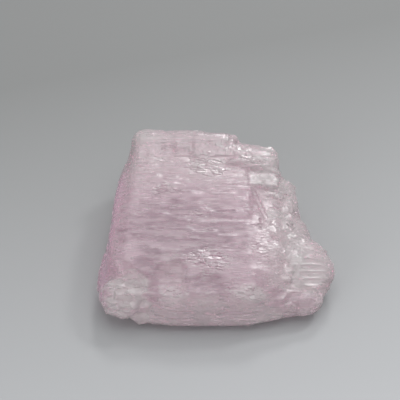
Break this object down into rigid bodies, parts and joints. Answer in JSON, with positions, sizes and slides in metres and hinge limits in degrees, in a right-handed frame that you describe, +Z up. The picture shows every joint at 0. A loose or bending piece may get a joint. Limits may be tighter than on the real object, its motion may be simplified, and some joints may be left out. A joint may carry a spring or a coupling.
{
  "type": "rough kunzite crystal",
  "caption": "Rough pale pink kunzite crystal chunk with lined cleavage faces, broken ends and a flat underside to rest on.",
  "frame": {"origin": "bottom centre of the crystal's bounding box, on the surface it rests on", "axes": "+X along the grain of the crystal, +Y across the grain towards the thick edge, +Z up"},
  "size_m": [0.0372, 0.0306, 0.0129],
  "materials": {
    "crystal": "milky translucent, fine lined cleavage faces"
  },
  "bodies": {
    "root": {"kunzite_crystal": "crystal"}
  },
  "joints": []
}
